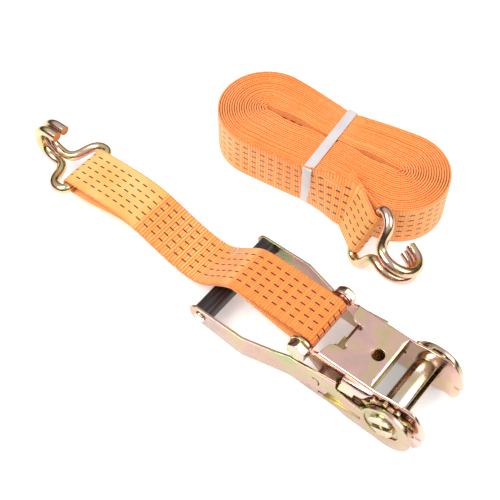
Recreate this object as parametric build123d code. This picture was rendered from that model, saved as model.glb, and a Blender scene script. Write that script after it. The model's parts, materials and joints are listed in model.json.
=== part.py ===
"""Ratchet tie down: ratchet with its short anchor strap and hook, and the long coiled strap.

Frame of the model (mm): X runs from the grip to the spindle, Y along the spindle, Z up.
The origin is the centre of the hole in the frame's web, on the web's upper face.
The ratchet lies closed, web up, with its handle folded underneath.
"""

from build123d import *
import math
import os

os.makedirs("parts", exist_ok=True)

# ---------------------------------------------------------------- driving dimensions
WEBBING_WIDTH = 50.0
WEBBING_THICK = 2.5

FRAME_SHEET = 2.5            # thickness of the frame's folded sheet
STRAP_ROOM = 3.25            # webbing's edge to the inside of each side plate
WEB_FRONT = 12.3             # web hole centre to the web's spindle-side edge
WEB_REAR = 39.0              # web hole centre to the ends of the web's two rear lobes
WEB_HOLE_R = 5.9
TONGUE_SETBACK = 11.0        # tongue's edge from the lobes' ends
TONGUE_HALF = 9.4
RELIEF_R = 2.4               # round relief each side of the tongue
LOBE_R = 8.0
SPINDLE_X = 33.5
SPINDLE_Z = -25.0
BOLT_X = -57.0
BOLT_Z = -8.0

CAM_R = 35.0                 # rounded spindle end of the side plates
EAR_R = 11.5                 # rounded bolt end of the side plates
GUARD_RISE = 0.17            # slope of the wheel guards along X
FRAME_BASE_Z = -46.5         # lower edge of the side plates at the spindle

SPINDLE_R = 12.0
SPINDLE_SLOT = 5.8           # gap between the two half-round bars
SPINDLE_SLOT_TILT = 30.0     # slot direction above +X, degrees
SPINDLE_OVERHANG = 3.1       # past the handle plates, each end

WHEEL_R = 25.5
WHEEL_ROOT_R = 21.6
WHEEL_TEETH = 12
WHEEL_THICK = 4.0

PLATE_SHEET = 2.5            # thickness of the handle's side plates
PLATE_GAP = 1.2              # wheel to handle plate
GRIP_LENGTH = 95.0           # between the handle plates at the grip
GRIP_X = -153.0
GRIP_Z = -33.0
GRIP_W = 17.0
GRIP_H = 16.0
GRIP_ROD_R = 4.0
END_R = 24.5                 # rounded spindle end of the handle plates
END_SHIFT_X = 4.0            # that end's centre from the spindle axis
END_SHIFT_Z = -2.0
DISH_R = 17.0                # recess in the plate round the spindle end
DISH_DEPTH = 1.6
DISH_CHORD = 13.9            # spindle axis to the recess's straight lower side
DISH_TILT = 27.0             # that side above +X, degrees
SPLAY_START_X = -62.0        # where the handle plates begin to spread
SPLAY_END_X = -106.0

BOLT_R = 6.0
BOLT_HEX_AF = 18.0
BOLT_HEAD_H = 7.8
HEAD_CHAMFER = 1.0
NUT_H = 8.0
NUT_CHAMFER = 2.6

PAWL_SHEET = 3.0
DRIVE_TILT = 9.5             # drive pawl's slope, degrees
DRIVE_DROP = 8.2             # drive pawl's middle line below the spindle axis
DRIVE_EAR = 24.0             # length of the pawl plate along its travel
DRIVE_TRAVEL = 7.0
PULL_HALF = 9.0              # half the width of its finger pull
DRIVE_HORN = 13.0            # how far the pawl's outer ends reach ahead of its nose
BACK_ROOM_DRIVE = 17.0       # from the drive pawl's plate back to the crossbar
LOCK_Z = -22.5
LOCK_EAR = 20.0
LOCK_TRAVEL = 6.0
LOCK_BITE = 2.6              # how deep the lock pawl sits between two teeth
TONGUE_W = 8.0
SPRING_WIRE_R = 0.8
SPRING_R = 5.6

PIN_R = 1.25                 # split pins through the spindle's ends
PIN_LENGTH = 26.0

HOOK_WIRE_R = 5.0
HOOK_BAR_ROOM = 0.5          # webbing's edge to the end of the hook's straight bar
HOOK_CORNER_OUT = 6.0        # the wire's widest point past that end, centre line
HOOK_BEND_R = 19.5           # radius of the claw's bend, centre line
HOOK_REACH = 36.0            # bar to the start of the bend
HOOK_DROP = 6.0              # bar centre above the lower leg of the bend
HOOK_TIP = 8.0               # straight tip after the bend
HOOK_PAIR_GAP = 0.6          # between the two claws

ANCHOR_BAR_X = -338.5
ANCHOR_BAR_Z = -19.0
JOIN_FRONT_X = -146.0        # sewn stretch of the anchor strap
JOIN_REAR_X = -254.0

COIL_X, COIL_Y = -171.0, 170.0
COIL_ANGLE = 6.0
COIL_LENGTH = 248.0
COIL_LOBE = 101.0            # across each rounded lobe
COIL_NEAR_PINCH = 3.5        # how far the band pulls the near side in at the waist
COIL_FAR_PINCH = 11.0        # and the far side
BAND_W = 10.0
BAND_T = 0.8
BAND_BITE_LOW = 1.1          # how far the band presses the webbing's edges in, underneath
BAND_BITE_HIGH = 0.8         # and on top
BAND_GAP = 0.3
LONG_BAR = (-86.9, 110.1, -17.5)
LONG_TAIL = 54.0             # sewn tail between the coil and its hook loop
LONG_TAIL_FREE = 30.0        # stretch of that tail that stands clear of the coil

# ---------------------------------------------------------------- fits and clearances
RUN_FIT = 0.06               # shafts turning in holes, radial
PRESS_GAP = 0.02             # pieces of one body that are pressed or riveted
SIDE_GAP = 0.45              # between plates and wheels that pass each other
PAWL_GAP = 0.3               # pawls in their slots, each side
CAM_GAP = 0.3                # drive pawl's nose to the cam rim
LOOP_GAP = 0.35              # webbing round a bolt or hook bar

# ---------------------------------------------------------------- derived sizes
FRAME_IN = WEBBING_WIDTH / 2 + STRAP_ROOM
FRAME_OUT = FRAME_IN + FRAME_SHEET
WHEEL_IN = FRAME_OUT + SIDE_GAP
WHEEL_OUT = WHEEL_IN + WHEEL_THICK
PLATE_IN = WHEEL_OUT + PLATE_GAP
PLATE_OUT = PLATE_IN + PLATE_SHEET
SPINDLE_HALF_LENGTH = PLATE_OUT + SPINDLE_OVERHANG
HOOK_BAR_HALF = WEBBING_WIDTH / 2 + HOOK_BAR_ROOM
HOOK_CORNER_Y = HOOK_BAR_HALF + HOOK_CORNER_OUT
GRIP_IN = GRIP_LENGTH / 2
GRIP_OUT = GRIP_IN + PLATE_SHEET
FLOOR_Z = SPINDLE_Z + END_SHIFT_Z - END_R
LOCK_NOSE_X = SPINDLE_X - WHEEL_R + LOCK_BITE   # lock pawl's edge between two teeth
STOP_X = TONGUE_SETBACK - WEB_REAR              # rear face of the lock spring's stop


def slab(face, y0, y1):
    """Extrude a face drawn in X and Z from y0 to y1."""
    return extrude(Plane.XZ.offset(-y1) * face, amount=y1 - y0)


def disc(x, z, radius, y0, y1):
    """Solid round bar along Y."""
    return slab(Pos(x, z) * Circle(radius), y0, y1)


def box(x0, x1, y0, y1, z0, z1):
    """Box from its six faces."""
    return Pos((x0 + x1) / 2, (y0 + y1) / 2, (z0 + z1) / 2) * Box(x1 - x0, y1 - y0, z1 - z0)


def outline(points, radius):
    """Closed polygon with every corner rounded."""
    return make_face(FilletPolyline(*points, radius=radius, close=True))


def flip(shape):
    """The same shape on the other side of the middle plane."""
    return mirror(shape, about=Plane.XZ)


def save(name, shape):
    """Write one node."""
    shape.label = name
    export_step(shape, f"parts/{name}.step")


# ---------------------------------------------------------------- frame
def cam_point(angle, radius=CAM_R):
    """Point on a circle round the spindle, in X and Z."""
    a = math.radians(angle)
    return (SPINDLE_X + radius * math.cos(a), SPINDLE_Z + radius * math.sin(a))


def frame_side():
    """Profile of one side plate: ear, neck, cam with its notch, and lower shoulder."""
    shoulder_x = SPINDLE_X - 27.0
    body = outline(
        [
            (-WEB_REAR, 0.0),
            (WEB_FRONT, 0.0),
            (SPINDLE_X - 14.0, SPINDLE_Z + 25.2),
            (SPINDLE_X - 3.0, SPINDLE_Z + 27.8),
            (SPINDLE_X + 9.0, SPINDLE_Z + 29.4),
            (SPINDLE_X + 19.0, SPINDLE_Z + 28.6),
            (SPINDLE_X + 32.0, SPINDLE_Z + 27.0),
            (SPINDLE_X + 44.0, SPINDLE_Z + 10.0),
            (SPINDLE_X + 44.0, SPINDLE_Z + 1.0),
            (SPINDLE_X + 27.5, SPINDLE_Z + 0.5),
            (SPINDLE_X + 27.5, SPINDLE_Z - 2.5),
            (SPINDLE_X + 33.0, SPINDLE_Z - 3.0),
            (SPINDLE_X + 34.0, SPINDLE_Z - 13.0),
            (SPINDLE_X + 29.0, SPINDLE_Z - 21.0),
            (SPINDLE_X + 20.0, SPINDLE_Z - 18.5),
            (SPINDLE_X + 13.0, FRAME_BASE_Z),
            (shoulder_x, FRAME_BASE_Z),
            (shoulder_x - 1.5, -36.2),
            (-26.0, -36.2),
            (BOLT_X + 8.0, BOLT_Z - 8.0),
            (BOLT_X + 8.0, BOLT_Z + 4.0),
            (-WEB_REAR - 7.0, -4.5),
        ],
        0.8,
    )
    ear = Pos(BOLT_X, BOLT_Z) * Circle(EAR_R)
    beyond_cam = Pos(SPINDLE_X, SPINDLE_Z) * (Circle(80) - Circle(CAM_R))
    keep_left = Pos(SPINDLE_X - 71.0, SPINDLE_Z) * Rectangle(120, 160)
    return body - (beyond_cam - keep_left) + ear


def web_outline():
    """Web seen from above: straight front edge; a set-back tongue between two lobes behind."""
    half_gap = TONGUE_HALF + 2 * RELIEF_R
    plate = Pos((WEB_FRONT - WEB_REAR) / 2, 0) * Rectangle(WEB_FRONT + WEB_REAR, 2 * FRAME_OUT)
    plate -= Pos(-WEB_REAR, 0) * Rectangle(2 * TONGUE_SETBACK, 2 * half_gap)
    corners = [v for v in plate.vertices() if v.X < 1 - WEB_REAR and abs(v.Y) < half_gap + 1]
    plate = fillet(corners, LOBE_R)
    for side in (1, -1):
        plate -= Pos(-WEB_REAR + TONGUE_SETBACK + 1.5, side * (TONGUE_HALF + RELIEF_R)) * Circle(RELIEF_R)
    return plate - Circle(WEB_HOLE_R)


def frame():
    """Folded sheet: web, two side plates, wheel guards and the lock spring's stop."""
    side = frame_side()
    outer = slab(side, -FRAME_OUT, FRAME_OUT)
    hollow = box(-200, 200, -FRAME_IN, FRAME_IN, -200, -FRAME_SHEET)
    over_web = box(-WEB_REAR, WEB_FRONT, -FRAME_IN, FRAME_IN, -FRAME_SHEET - 1, 50)
    open_ends = box(-200, -WEB_REAR, -FRAME_IN, FRAME_IN, -200, 50) + box(
        WEB_FRONT, 200, -FRAME_IN, FRAME_IN, -200, 50
    )
    plates = outer - hollow - over_web - open_ends
    web = extrude(Plane.XY.offset(-FRAME_SHEET) * web_outline(), amount=FRAME_SHEET)
    body = plates + web
    edges = body.edges().filter_by(Axis.X).filter_by(
        lambda e: abs(abs(e.center().Y) - FRAME_OUT) < 0.01 and abs(e.center().Z) < 0.01
    )
    body = fillet(edges, FRAME_SHEET * 0.9)
    body -= disc(SPINDLE_X, SPINDLE_Z, SPINDLE_R + RUN_FIT, -FRAME_OUT - 1, FRAME_OUT + 1)
    body -= disc(BOLT_X, BOLT_Z, BOLT_R + RUN_FIT, -FRAME_OUT - 1, FRAME_OUT + 1)
    nose = LOCK_NOSE_X
    body -= box(
        nose - LOCK_EAR - LOCK_TRAVEL - PAWL_GAP,
        nose + 1.5,
        -FRAME_OUT - 1,
        FRAME_OUT + 1,
        LOCK_Z - PAWL_SHEET / 2 - PAWL_GAP,
        LOCK_Z + PAWL_SHEET / 2 + PAWL_GAP,
    )
    guard = wheel_guard()
    return body + guard + flip(guard) + lock_stop()


def wheel_guard():
    """Sloping tab beside the web that covers the wheel's rear teeth, on one side."""
    reach = PLATE_OUT - 0.4
    section = Polygon(
        (FRAME_OUT - 0.5, -8.8),
        (FRAME_OUT - 0.5, -12.2),
        (reach - 1.2, -19.6),
        (reach, -18.4),
        (FRAME_OUT + 1.6, -8.6),
        align=None,
    )
    tab = extrude(Plane.YZ.offset(-12.5) * section, amount=29.5, dir=(1, 0, GUARD_RISE))
    beside_handle = box(SPINDLE_X - END_R - END_SHIFT_X - 2.5, 100, PLATE_IN - SIDE_GAP, 60, -100, 50)
    return tab - beside_handle - disc(SPINDLE_X, SPINDLE_Z, WHEEL_R + 1.0, 0, 60)


def lock_stop():
    """Tab hanging from the web that guides the lock pawl's tongue and seats its spring."""
    x = STOP_X
    tab = box(x, x + FRAME_SHEET, -9.0, 9.0, LOCK_Z - 8.0, -FRAME_SHEET)
    window = box(
        x - 1,
        x + FRAME_SHEET + 1,
        -TONGUE_W / 2 - PAWL_GAP,
        TONGUE_W / 2 + PAWL_GAP,
        LOCK_Z - PAWL_SHEET / 2 - PAWL_GAP,
        LOCK_Z + PAWL_SHEET / 2 + PAWL_GAP,
    )
    return tab - window


# ---------------------------------------------------------------- spindle and wheels
def slot_strip(width, length):
    """Strip through the spindle axis, along the slot, as a face in X and Z."""
    return Pos(SPINDLE_X, SPINDLE_Z) * Rot(0, 0, SPINDLE_SLOT_TILT) * Rectangle(length, width)


def spindle_half(sign):
    """One half-round bar, on one side of the slot."""
    lift = sign * (SPINDLE_SLOT / 2 + SPINDLE_R)
    half_plane = (
        Pos(SPINDLE_X, SPINDLE_Z)
        * Rot(0, 0, SPINDLE_SLOT_TILT)
        * Pos(0, lift)
        * Rectangle(4 * SPINDLE_R, 2 * SPINDLE_R)
    )
    face = (Pos(SPINDLE_X, SPINDLE_Z) * Circle(SPINDLE_R)) & half_plane
    bar = slab(face, -SPINDLE_HALF_LENGTH, SPINDLE_HALF_LENGTH)
    for side in (1, -1):
        bar -= pin_bar(side, PIN_R + PRESS_GAP, 40.0)
    return bar


def pin_y():
    """Where the split pins cross the spindle, just outside the handle plates."""
    return PLATE_OUT + PIN_R + 0.3


def pin_bar(side, radius, length):
    """Round bar across the spindle, square to its slot."""
    across = SPINDLE_SLOT_TILT + 90.0
    bar = Rot(0, 90, 0) * Cylinder(radius, length)
    return Pos(SPINDLE_X, side * pin_y(), SPINDLE_Z) * Rot(0, -across, 0) * bar


def split_pin(side):
    """Split pin: two legs and an eye."""
    pin = pin_bar(side, PIN_R, PIN_LENGTH)
    slit = Rot(0, 90, 0) * Pos(0, 0, -4.0) * Box(0.3, 4 * PIN_R, PIN_LENGTH)
    across = SPINDLE_SLOT_TILT + 90.0
    return pin - Pos(SPINDLE_X, side * pin_y(), SPINDLE_Z) * Rot(0, -across, 0) * slit


def ratchet_wheel(side):
    """Toothed wheel whose bore takes both bars and whose bridge fills the slot."""
    step = 360.0 / WHEEL_TEETH
    # A gap faces the lock pawl; each tooth has a steep face and a sloping back.
    facing = 180.0 - math.degrees(math.asin((LOCK_Z - SPINDLE_Z) / (WHEEL_R - LOCK_BITE / 2)))
    points = []
    for i in range(WHEEL_TEETH):
        base = facing + i * step
        for angle, radius in ((-6.5, WHEEL_ROOT_R), (6.5, WHEEL_ROOT_R), (10.5, WHEEL_R), (17.5, WHEEL_R)):
            points.append(cam_point(base + angle, radius))
    face = outline(points, 0.7)
    bore = Pos(SPINDLE_X, SPINDLE_Z) * Circle(SPINDLE_R + PRESS_GAP)
    bridge = slot_strip(SPINDLE_SLOT - 2 * PRESS_GAP, 3 * SPINDLE_R)
    face = face - (bore - bridge)
    y0, y1 = (WHEEL_IN, WHEEL_OUT) if side > 0 else (-WHEEL_OUT, -WHEEL_IN)
    return slab(face, y0, y1)


# ---------------------------------------------------------------- handle
def drive_frame():
    """Local frame of the drive pawl: x towards the spindle, y up, origin below its axis."""
    a = math.radians(DRIVE_TILT)
    origin = (
        SPINDLE_X + DRIVE_DROP * math.sin(a),
        0,
        SPINDLE_Z - DRIVE_DROP * math.cos(a),
    )
    return Plane(origin=origin, x_dir=(math.cos(a), 0, math.sin(a)), z_dir=(0, -1, 0))


def drive_slab(x0, x1, half, thick):
    """Plate in the drive pawl's frame, centred on its middle line."""
    face = Pos((x0 + x1) / 2, 0) * Rectangle(x1 - x0, thick)
    return extrude(drive_frame().offset(-half) * face, amount=2 * half)


def drive_nose():
    """Distance of the drive pawl's nose from the spindle's foot point, handle closed."""
    near = DRIVE_DROP - PAWL_SHEET / 2
    return -math.sqrt((CAM_R + CAM_GAP) ** 2 - near**2)


def plate_profile():
    """Side view of a handle plate: slim at the grip, deep at the pawl, round at the spindle."""
    arm = outline(
        [
            (GRIP_X - 3.0, GRIP_Z + 9.8),
            (-112.0, -22.0),
            (-75.0, -22.0),
            (-57.0, -19.8),
            (-34.0, -15.5),
            (-14.2, -12.0),
            (-14.2, -18.5),
            (-12.0, -21.5),
            (SPINDLE_X - 20.0, -22.5),
            (SPINDLE_X, -13.0),
            (SPINDLE_X, FLOOR_Z + 1.0),
            (-40.0, FLOOR_Z + 1.2),
            (-73.0, FLOOR_Z + 1.8),
            (-112.0, -48.0),
            (GRIP_X - 3.0, GRIP_Z - 9.8),
        ],
        1.2,
    )
    nose = Pos(GRIP_X - 3.0, GRIP_Z) * Circle(9.8)
    end = Pos(SPINDLE_X + END_SHIFT_X, SPINDLE_Z + END_SHIFT_Z) * Circle(END_R)
    return arm + nose + end


def plate_strip():
    """Plan view of the plate on +Y: thicker at the spindle, straight, splayed, straight."""
    rim = PLATE_OUT + DISH_DEPTH
    return Polygon(
        (100.0, PLATE_IN),
        (100.0, rim),
        (2.0, rim),
        (-12.0, PLATE_OUT),
        (SPLAY_START_X, PLATE_OUT),
        (SPLAY_END_X, GRIP_OUT),
        (-200.0, GRIP_OUT),
        (-200.0, GRIP_IN),
        (SPLAY_END_X, GRIP_IN),
        (SPLAY_START_X, PLATE_IN),
        align=None,
    )


def dish():
    """Recess round the spindle end: a circle with a straight, tilted lower side."""
    above_chord = Rot(0, 0, DISH_TILT) * Pos(0, 50.0 - DISH_CHORD) * Rectangle(100, 100)
    return slab(Pos(SPINDLE_X, SPINDLE_Z) * (Circle(DISH_R) & above_chord), PLATE_OUT, 60)


def handle_plate():
    """Handle side plate on +Y."""
    body = slab(plate_profile(), 20, 60) & extrude(
        Plane.XY.offset(-80) * plate_strip(), amount=120
    )
    body -= dish()
    body -= disc(SPINDLE_X, SPINDLE_Z, SPINDLE_R + RUN_FIT, 20, 60)
    body -= disc(GRIP_X, GRIP_Z, GRIP_ROD_R + PRESS_GAP, 20, 60)
    nose = drive_nose()
    body -= drive_slab(
        nose - DRIVE_EAR - DRIVE_TRAVEL - PAWL_GAP,
        nose + DRIVE_HORN + PAWL_GAP,
        60,
        PAWL_SHEET + 2 * PAWL_GAP,
    )
    tenon = crossbar_blank(PRESS_GAP)
    body -= tenon
    # Half-round pierced lug beside the pawl slot.
    half_plane = Rot(0, 0, -40) * Pos(0, 5) * Rectangle(12, 10)
    lug = Pos(-34.5, -31.0) * ((Circle(4.8) - Circle(3.4)) & half_plane)
    return body - slab(lug, 20, 60)


def crossbar_blank(grow):
    """Crossbar's outer block, tenons included; grow makes the plates' slots from it."""
    x = crossbar_x()
    face = Pos(x, 0) * Rectangle(PLATE_SHEET + 2 * grow, 8.0 + 2 * grow)
    return extrude(drive_frame().offset(-PLATE_OUT) * face, amount=2 * PLATE_OUT)


def crossbar_x():
    """Crossbar's place behind the drive pawl, in the pawl's frame."""
    return drive_nose() - DRIVE_EAR - BACK_ROOM_DRIVE


def handle_crossbar():
    """Strip joining the plates; the drive pawl's tongue slides through its window."""
    window = Pos(crossbar_x(), 0) * Rectangle(PLATE_SHEET + 4, PAWL_SHEET + 2 * PAWL_GAP)
    half = TONGUE_W / 2 + PAWL_GAP
    return crossbar_blank(0.0) - extrude(drive_frame().offset(-half) * window, amount=2 * half)


def drive_pawl():
    """Drive pawl: wide plate in both handle slots, horned ends, tongue and finger pull."""
    nose = drive_nose()
    half = PLATE_OUT + 2.0
    plate = drive_slab(nose - DRIVE_EAR, nose, half, PAWL_SHEET)
    horns = drive_slab(nose - 1.0, nose + DRIVE_HORN, half, PAWL_SHEET)
    horns -= drive_slab(nose - 2.0, nose + DRIVE_HORN + 1.0, PLATE_IN - 0.3, 3 * PAWL_SHEET)
    tail = crossbar_x() - 7.0
    tongue = drive_slab(tail, nose - DRIVE_EAR + 1, TONGUE_W / 2, PAWL_SHEET)
    pull_face = Pos(tail + PAWL_SHEET / 2, -0.5) * Rectangle(PAWL_SHEET, 5.0)
    pull = extrude(drive_frame().offset(-PULL_HALF) * pull_face, amount=2 * PULL_HALF)
    return plate + horns + tongue + pull


def coil_spring(start, direction, length, turns):
    """Round-wire compression spring along a direction."""
    path = Helix(pitch=length / turns, height=length, radius=SPRING_R)
    profile = Plane(origin=path @ 0, z_dir=path % 0) * Circle(SPRING_WIRE_R)
    spring = sweep(profile, path=path, is_frenet=True)
    return Plane(origin=start, z_dir=direction) * spring


def drive_spring():
    """Spring between the crossbar and the drive pawl's plate, at its compressed length."""
    a = math.radians(DRIVE_TILT)
    x = crossbar_x() + PLATE_SHEET / 2 + SPRING_WIRE_R + 0.2
    start = drive_frame().from_local_coords(Vector(x, 0, 0))
    room = BACK_ROOM_DRIVE - PLATE_SHEET / 2 - DRIVE_TRAVEL - 2 * SPRING_WIRE_R - 0.6
    return coil_spring(start, (math.cos(a), 0, math.sin(a)), room, 3)


def grip():
    """Ribbed plastic hand grip."""
    body = slab(
        Pos(GRIP_X, GRIP_Z) * RectangleRounded(GRIP_W, GRIP_H, 4.5),
        -GRIP_IN + PRESS_GAP,
        GRIP_IN - PRESS_GAP,
    )
    groove = 1.1
    for i in range(4):
        x = GRIP_X - 4.5 + i * 3.0
        for z in (GRIP_Z + GRIP_H / 2, GRIP_Z - GRIP_H / 2):
            body -= disc(x, z, groove / 2, -GRIP_IN + 4, GRIP_IN - 4)
    return body - disc(GRIP_X, GRIP_Z, GRIP_ROD_R + PRESS_GAP, -60, 60)


def grip_rod():
    """Rod through the grip, headed over outside both plates."""
    reach = GRIP_OUT + PRESS_GAP + 0.5
    rod = disc(GRIP_X, GRIP_Z, GRIP_ROD_R, -reach, reach)
    for side in (1, -1):
        y = side * (GRIP_OUT + PRESS_GAP)
        head = disc(GRIP_X, GRIP_Z, 5.6, min(y, y + side * 2.2), max(y, y + side * 2.2))
        rim = head.faces().sort_by(Axis.Y)[-1 if side > 0 else 0].edges()
        rod += fillet(rim, 1.6)
    return rod


# ---------------------------------------------------------------- lock pawl
def lock_pawl():
    """Lock pawl: plate through both side plates, tongue and finger lip."""
    nose = LOCK_NOSE_X
    half = WHEEL_OUT + 0.3
    z0, z1 = LOCK_Z - PAWL_SHEET / 2, LOCK_Z + PAWL_SHEET / 2
    plate = box(nose - LOCK_EAR, nose, -half, half, z0, z1)
    tail = STOP_X - 10.0
    tongue = box(tail, nose - LOCK_EAR + 1, -TONGUE_W / 2, TONGUE_W / 2, z0, z1)
    lip = box(tail, tail + PAWL_SHEET, -8.0, 8.0, z0 - 6.0, z1)
    return plate + tongue + lip


def lock_spring():
    """Spring between the stop tab and the lock pawl's plate, at its compressed length."""
    x = STOP_X + FRAME_SHEET + SPRING_WIRE_R + 0.2
    room = LOCK_NOSE_X - LOCK_EAR - x - LOCK_TRAVEL - SPRING_WIRE_R - 0.4
    return coil_spring((x, 0, LOCK_Z), (1, 0, 0), room, 3.5)


# ---------------------------------------------------------------- strap bolt
def hex_prism(y0, y1, chamfer_side, chamfer):
    """Hexagon across the bolt's axis, chamfered on its outer face."""
    radius = BOLT_HEX_AF / 2 / math.cos(math.pi / 6)
    prism = slab(Pos(BOLT_X, BOLT_Z) * RegularPolygon(radius, 6, rotation=30), y0, y1)
    length = y1 - y0
    middle = (BOLT_X, (y0 + y1) / 2, BOLT_Z)
    cone = Cone(radius + 0.6 * length, radius - chamfer, length)
    turn = Rot(-90, 0, 0) if chamfer_side > 0 else Rot(90, 0, 0)
    return prism & (Pos(*middle) * turn * cone)


def strap_bolt():
    """Hexagon-headed bolt through both ears, head on -Y."""
    head_y = -FRAME_OUT - PRESS_GAP
    shank = disc(BOLT_X, BOLT_Z, BOLT_R, head_y - 1, FRAME_OUT + NUT_H + 1.0)
    return shank + hex_prism(head_y - BOLT_HEAD_H, head_y, -1, HEAD_CHAMFER)


def strap_bolt_nut():
    """Nut on the bolt's +Y end."""
    nut = hex_prism(FRAME_OUT + PRESS_GAP, FRAME_OUT + PRESS_GAP + NUT_H, 1, NUT_CHAMFER)
    return nut - disc(BOLT_X, BOLT_Z, BOLT_R + PRESS_GAP, 0, 60)


# ---------------------------------------------------------------- hooks
def claw_hook():
    """Double claw hook of one round wire: bar along Y at the origin, claws towards -X."""
    y = HOOK_WIRE_R + HOOK_PAIR_GAP / 2
    z0, z1 = -HOOK_DROP, 2 * HOOK_BEND_R - HOOK_DROP
    zm = HOOK_BEND_R - HOOK_DROP
    half = []
    for s in (1, -1):
        tip = Line((-HOOK_REACH + HOOK_TIP, s * y, z1), (-HOOK_REACH, s * y, z1))
        bend = ThreePointArc(
            (-HOOK_REACH, s * y, z1), (-HOOK_REACH - HOOK_BEND_R, s * y, zm), (-HOOK_REACH, s * y, z0)
        )
        leg = Spline(
            (-HOOK_REACH, s * y, z0),
            (-HOOK_REACH + 18.0, s * (HOOK_CORNER_Y - 5.5), -0.5 * HOOK_DROP),
            (-8.0, s * HOOK_CORNER_Y, -1.0),
            (0, s * HOOK_BAR_HALF, 0),
            tangents=((1, 0, 0), (0, -s, 0)),
        )
        half.append([tip, bend, leg])
    bar = Line((0, HOOK_BAR_HALF, 0), (0, -HOOK_BAR_HALF, 0))
    path = Wire(half[0] + [bar] + half[1])
    start = Plane(origin=(-HOOK_REACH + HOOK_TIP, y, z1), z_dir=(-1, 0, 0))
    return sweep(start * Circle(HOOK_WIRE_R), path=path, transition=Transition.ROUND)


def anchor_place():
    """Where the anchor hook's bar lies."""
    return Pos(ANCHOR_BAR_X, 0, ANCHOR_BAR_Z)


def long_place():
    """Where the long strap's hook lies: bar leaning upright, claws along the floor."""
    return Plane(origin=LONG_BAR, x_dir=(-0.908, 0.409, 0.089), z_dir=(0.34, 0.844, -0.414))


# ---------------------------------------------------------------- straps
def loop_ring(x, z, bore):
    """Round end of a webbing loop, as a face in X and Z."""
    return Pos(x, z) * (Circle(bore + WEBBING_THICK) - Circle(bore))


def ribbon(points):
    """Webbing layer in side view: a curve given thickness downwards."""
    upper = Spline(*[(x, z) for x, z in points])
    lower = Spline(*[(x, z - WEBBING_THICK) for x, z in points])
    ends = [Line(upper @ 1, lower @ 1), Line(lower @ 0, upper @ 0)]
    return make_face(Wire([upper, ends[0], lower, ends[1]]))


# Upper surface of the anchor strap, bolt to hook, hand chosen.
ANCHOR_ROUTE = [
    (-75.0, 1.2),
    (-95.0, 1.6),
    (-118.0, 1.8),
    (-133.0, 1.4),
    (-142.0, -1.4),
    (-150.0, -7.2),
    (-160.0, -15.6),
    (-170.0, -24.4),
    (-180.0, -29.6),
    (-192.0, -30.6),
    (-211.0, -26.8),
    (-232.0, -19.4),
    (-252.0, -11.8),
    (-268.0, -8.2),
    (-290.0, -7.4),
    (-312.0, -8.6),
]


def anchor_strap():
    """Anchor strap: loop round the bolt, sewn double stretch, loop round the hook's bar."""
    half = WEBBING_WIDTH / 2
    t = WEBBING_THICK
    bolt_bore = BOLT_R + LOOP_GAP
    bar_bore = HOOK_WIRE_R + LOOP_GAP
    bolt_top = (BOLT_X, BOLT_Z + bolt_bore + t)
    bar_top = (ANCHOR_BAR_X, ANCHOR_BAR_Z + bar_bore + t)
    upper = ribbon([bolt_top] + ANCHOR_ROUTE + [bar_top])
    sewn = [(x, z - t) for x, z in ANCHOR_ROUTE if JOIN_REAR_X <= x <= JOIN_FRONT_X + 4]
    front = [(BOLT_X, BOLT_Z - bolt_bore), (-80.0, -12.5), (-110.0, -6.0), (-134.0, -1.6)]
    rear = [(-270.0, -12.6), (-292.0, -17.0), (-318.0, -22.6), (ANCHOR_BAR_X, ANCHOR_BAR_Z - bar_bore)]
    lower = ribbon(front + sewn + rear)
    keep_bolt = Pos(BOLT_X + 15, BOLT_Z) * Rectangle(30, 60)
    keep_bar = Pos(ANCHOR_BAR_X - 15, ANCHOR_BAR_Z) * Rectangle(30, 60)
    face = upper + lower
    face += loop_ring(BOLT_X, BOLT_Z, bolt_bore) & keep_bolt
    face += loop_ring(ANCHOR_BAR_X, ANCHOR_BAR_Z, bar_bore) & keep_bar
    return slab(face, -half, half)


def coil_half_width(x, pinch):
    """Half the coil's width at a distance x from the band."""
    run = (COIL_LENGTH - COIL_LOBE) / 2
    return COIL_LOBE / 2 - pinch * (1 - min(abs(x) / run, 1.0)) ** 1.25


def coil_outline():
    """Plan of the coil: two round lobes and sides that the band pulls in."""
    run, r = (COIL_LENGTH - COIL_LOBE) / 2, COIL_LOBE / 2
    edges = [ThreePointArc((s * run, -r), (s * (run + r), 0), (s * run, r)) for s in (1, -1)]
    for side, pinch in ((-1, COIL_NEAR_PINCH), (1, COIL_FAR_PINCH)):
        for s in (1, -1):
            shares = (1.0, 0.75, 0.5, 0.25, 0.0)
            edges.append(
                Spline(*[(s * run * k, side * coil_half_width(run * k, pinch)) for k in shares])
            )
    return make_face(Wire(edges))


def coil_place():
    """The coil's own frame, on the floor."""
    return Pos(COIL_X, COIL_Y, FLOOR_Z) * Rot(0, 0, COIL_ANGLE)


def long_strap():
    """Coiled long strap with its sewn tail and loop round the hook's bar."""
    coil = extrude(coil_outline(), amount=WEBBING_WIDTH)
    for z0, z1 in ((-1.0, BAND_BITE_LOW), (WEBBING_WIDTH - BAND_BITE_HIGH, WEBBING_WIDTH + 1.0)):
        coil -= box(-BAND_W / 2 - 0.5, BAND_W / 2 + 0.5, -100, 100, z0, z1)
    coil = coil_place() * coil
    bore = HOOK_WIRE_R + LOOP_GAP
    ring = loop_ring(0, 0, bore)
    strip = Pos(LONG_TAIL / 2 + 5.0, 0) * Rectangle(LONG_TAIL, 2 * WEBBING_THICK)
    face = (ring + strip) - Circle(bore)
    half = WEBBING_WIDTH / 2 - 1.0
    tail = long_place() * slab(face, -half, half)
    room = box(-400, 400, -400, 400, FLOOR_Z, FLOOR_Z + WEBBING_WIDTH)
    near_hook = Pos(*LONG_BAR) * Sphere(LONG_TAIL_FREE)
    return coil + (tail & room) + (tail & near_hook)


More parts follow.
